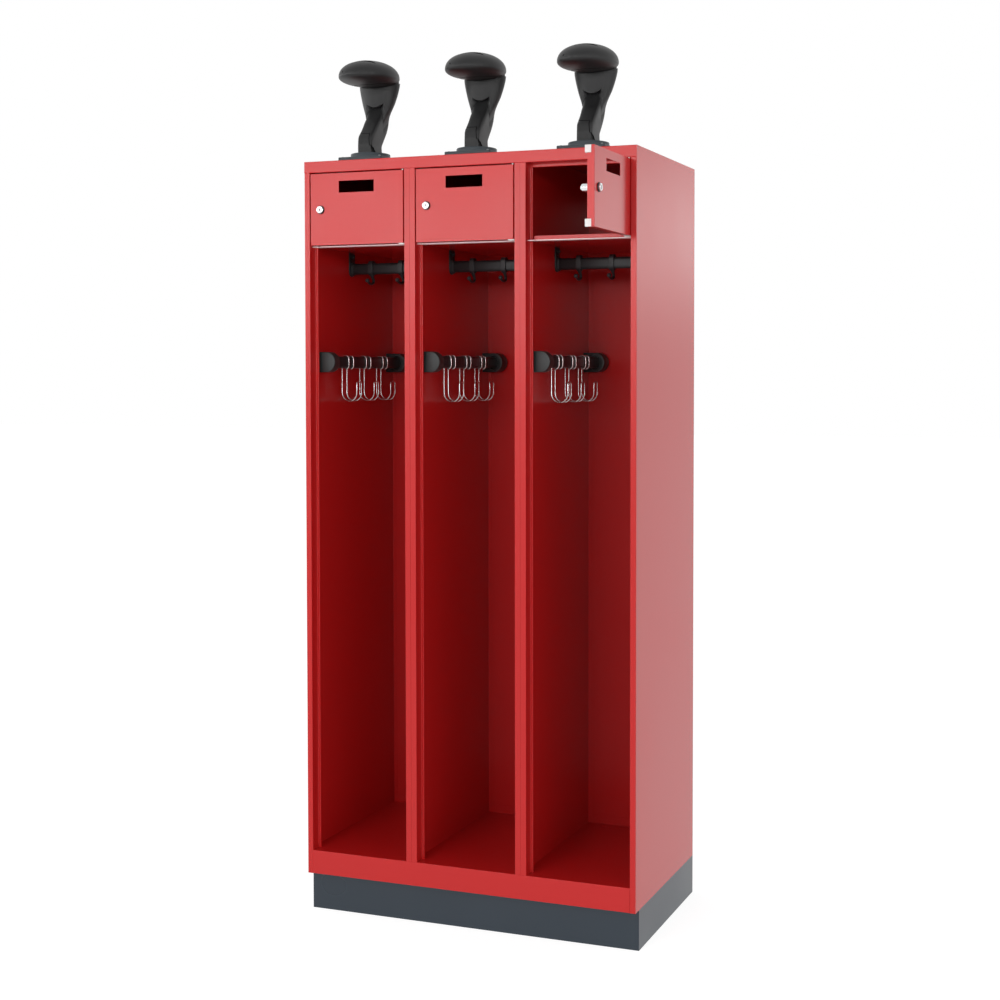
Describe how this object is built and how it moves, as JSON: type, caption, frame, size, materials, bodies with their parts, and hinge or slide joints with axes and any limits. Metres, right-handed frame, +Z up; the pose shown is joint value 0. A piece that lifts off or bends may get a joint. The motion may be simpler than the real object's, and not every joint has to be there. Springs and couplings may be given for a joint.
{
  "type": "gear locker",
  "caption": "Open-fronted steel gear locker with lockable value compartments on top, rails with sliding hooks inside and swivelling helmet holders on the roof.",
  "frame": {"origin": "centre of the carcass footprint at floor level, on the underside of the plinth's middle brace", "axes": "+X to the right along the front, +Y from the front to the back, +Z up"},
  "size_m": [0.9, 0.7572, 2.2072],
  "materials": {
    "red_paint": "glossy powder coat",
    "plinth_paint": "satin powder coat",
    "edge_strip": "bright",
    "zinc_steel": "bright zinc",
    "black_rail": "satin black",
    "black_plastic": "satin",
    "bracket_plastic": "satin",
    "wire_steel": "bright zinc",
    "white_rubber": "satin",
    "lock_chrome": "polished",
    "holder_plastic": "semi-gloss",
    "foot_plate": "satin grey-blue"
  },
  "bodies": {
    "carcass": {"plinth": "plinth_paint", "floor_pan": "red_paint", "roof_panel": "red_paint", "left_side_panel": "red_paint", "right_side_panel": "red_paint", "back_panel": "red_paint", "partition_1": "red_paint", "partition_2": "red_paint", "middle_post_1": "red_paint", "middle_post_2": "red_paint", "value_shelf_1": "red_paint", "value_shelf_2": "red_paint", "value_shelf_3": "red_paint", "shelf_edge_strips": "edge_strip", "hinge_pins": "zinc_steel", "upper_rails": "black_rail", "rail_hangers": "black_plastic", "side_rails": "black_rail", "side_rail_brackets": "bracket_plastic", "helmet_plates": "foot_plate"},
    "door_1": {"door_1": "red_paint", "door_bumpers_1": "white_rubber", "lock_body_1": "lock_chrome"},
    "lock_1": {"lock_plug_1": "lock_chrome"},
    "slide_hook_1_1": {"slide_hook_1_1": "black_plastic"},
    "slide_hook_1_2": {"slide_hook_1_2": "black_plastic"},
    "slide_hook_1_3": {"slide_hook_1_3": "black_plastic"},
    "wire_hook_1_1": {"wire_hook_1_1": "wire_steel"},
    "wire_hook_1_2": {"wire_hook_1_2": "wire_steel"},
    "wire_hook_1_3": {"wire_hook_1_3": "wire_steel"},
    "helmet_holder_1": {"helmet_neck_1": "holder_plastic", "helmet_head_1": "holder_plastic"},
    "door_2": {"door_2": "red_paint", "door_bumpers_2": "white_rubber", "lock_body_2": "lock_chrome"},
    "lock_2": {"lock_plug_2": "lock_chrome"},
    "slide_hook_2_1": {"slide_hook_2_1": "black_plastic"},
    "slide_hook_2_2": {"slide_hook_2_2": "black_plastic"},
    "slide_hook_2_3": {"slide_hook_2_3": "black_plastic"},
    "wire_hook_2_1": {"wire_hook_2_1": "wire_steel"},
    "wire_hook_2_2": {"wire_hook_2_2": "wire_steel"},
    "wire_hook_2_3": {"wire_hook_2_3": "wire_steel"},
    "helmet_holder_2": {"helmet_neck_2": "holder_plastic", "helmet_head_2": "holder_plastic"},
    "door_3": {"door_3": "red_paint", "door_bumpers_3": "white_rubber", "lock_body_3": "lock_chrome"},
    "lock_3": {"lock_plug_3": "lock_chrome"},
    "slide_hook_3_1": {"slide_hook_3_1": "black_plastic"},
    "slide_hook_3_2": {"slide_hook_3_2": "black_plastic"},
    "slide_hook_3_3": {"slide_hook_3_3": "black_plastic"},
    "wire_hook_3_1": {"wire_hook_3_1": "wire_steel"},
    "wire_hook_3_2": {"wire_hook_3_2": "wire_steel"},
    "wire_hook_3_3": {"wire_hook_3_3": "wire_steel"},
    "helmet_holder_3": {"helmet_neck_3": "holder_plastic", "helmet_head_3": "holder_plastic"}
  },
  "joints": [
    {"name": "door_1_hinge", "type": "hinge", "parent": "carcass", "child": "door_1", "pos_m": [-0.171, -0.245, 1.826], "axis": [0, 0, 1], "range_deg": [0, 95]},
    {"name": "lock_1_turn", "type": "hinge", "parent": "door_1", "child": "lock_1", "pos_m": [-0.4026, -0.25, 1.8255], "axis": [0, -1, 0], "range_deg": [0, 180]},
    {"name": "slide_hook_1_1_slide", "type": "slide", "parent": "carcass", "child": "slide_hook_1_1", "axis": [1, 0, 0], "range_m": [-0.037, 0.037]},
    {"name": "slide_hook_1_2_slide", "type": "slide", "parent": "carcass", "child": "slide_hook_1_2", "axis": [1, 0, 0], "range_m": [-0.037, 0.037]},
    {"name": "slide_hook_1_3_slide", "type": "slide", "parent": "carcass", "child": "slide_hook_1_3", "axis": [1, 0, 0], "range_m": [-0.037, 0.037]},
    {"name": "wire_hook_1_1_slide", "type": "slide", "parent": "carcass", "child": "wire_hook_1_1", "axis": [0, 1, 0], "range_m": [-0.034, 0.034]},
    {"name": "wire_hook_1_2_slide", "type": "slide", "parent": "carcass", "child": "wire_hook_1_2", "axis": [0, 1, 0], "range_m": [-0.034, 0.034]},
    {"name": "wire_hook_1_3_slide", "type": "slide", "parent": "carcass", "child": "wire_hook_1_3", "axis": [0, 1, 0], "range_m": [-0.034, 0.034]},
    {"name": "helmet_1_swivel", "type": "hinge", "parent": "carcass", "child": "helmet_holder_1", "pos_m": [-0.3, -0.17, 1.966], "axis": [0, 0, 1], "range_deg": [-90, 90]},
    {"name": "door_2_hinge", "type": "hinge", "parent": "carcass", "child": "door_2", "pos_m": [0.129, -0.245, 1.826], "axis": [0, 0, 1], "range_deg": [0, 95]},
    {"name": "lock_2_turn", "type": "hinge", "parent": "door_2", "child": "lock_2", "pos_m": [-0.1026, -0.25, 1.8255], "axis": [0, -1, 0], "range_deg": [0, 180]},
    {"name": "slide_hook_2_1_slide", "type": "slide", "parent": "carcass", "child": "slide_hook_2_1", "axis": [1, 0, 0], "range_m": [-0.037, 0.037]},
    {"name": "slide_hook_2_2_slide", "type": "slide", "parent": "carcass", "child": "slide_hook_2_2", "axis": [1, 0, 0], "range_m": [-0.037, 0.037]},
    {"name": "slide_hook_2_3_slide", "type": "slide", "parent": "carcass", "child": "slide_hook_2_3", "axis": [1, 0, 0], "range_m": [-0.037, 0.037]},
    {"name": "wire_hook_2_1_slide", "type": "slide", "parent": "carcass", "child": "wire_hook_2_1", "axis": [0, 1, 0], "range_m": [-0.034, 0.034]},
    {"name": "wire_hook_2_2_slide", "type": "slide", "parent": "carcass", "child": "wire_hook_2_2", "axis": [0, 1, 0], "range_m": [-0.034, 0.034]},
    {"name": "wire_hook_2_3_slide", "type": "slide", "parent": "carcass", "child": "wire_hook_2_3", "axis": [0, 1, 0], "range_m": [-0.034, 0.034]},
    {"name": "helmet_2_swivel", "type": "hinge", "parent": "carcass", "child": "helmet_holder_2", "pos_m": [0, -0.17, 1.966], "axis": [0, 0, 1], "range_deg": [-90, 90]},
    {"name": "door_3_hinge", "type": "hinge", "parent": "carcass", "child": "door_3", "pos_m": [0.429, -0.245, 1.826], "axis": [0, 0, 1], "range_deg": [-90, 5]},
    {"name": "lock_3_turn", "type": "hinge", "parent": "door_3", "child": "lock_3", "pos_m": [0.434, -0.4766, 1.8255], "axis": [1, 0, 0], "range_deg": [0, 180]},
    {"name": "slide_hook_3_1_slide", "type": "slide", "parent": "carcass", "child": "slide_hook_3_1", "axis": [1, 0, 0], "range_m": [-0.037, 0.037]},
    {"name": "slide_hook_3_2_slide", "type": "slide", "parent": "carcass", "child": "slide_hook_3_2", "axis": [1, 0, 0], "range_m": [-0.037, 0.037]},
    {"name": "slide_hook_3_3_slide", "type": "slide", "parent": "carcass", "child": "slide_hook_3_3", "axis": [1, 0, 0], "range_m": [-0.037, 0.037]},
    {"name": "wire_hook_3_1_slide", "type": "slide", "parent": "carcass", "child": "wire_hook_3_1", "axis": [0, 1, 0], "range_m": [-0.034, 0.034]},
    {"name": "wire_hook_3_2_slide", "type": "slide", "parent": "carcass", "child": "wire_hook_3_2", "axis": [0, 1, 0], "range_m": [-0.034, 0.034]},
    {"name": "wire_hook_3_3_slide", "type": "slide", "parent": "carcass", "child": "wire_hook_3_3", "axis": [0, 1, 0], "range_m": [-0.034, 0.034]},
    {"name": "helmet_3_swivel", "type": "hinge", "parent": "carcass", "child": "helmet_holder_3", "pos_m": [0.3, -0.17, 1.966], "axis": [0, 0, 1], "range_deg": [-90, 90]}
  ]
}
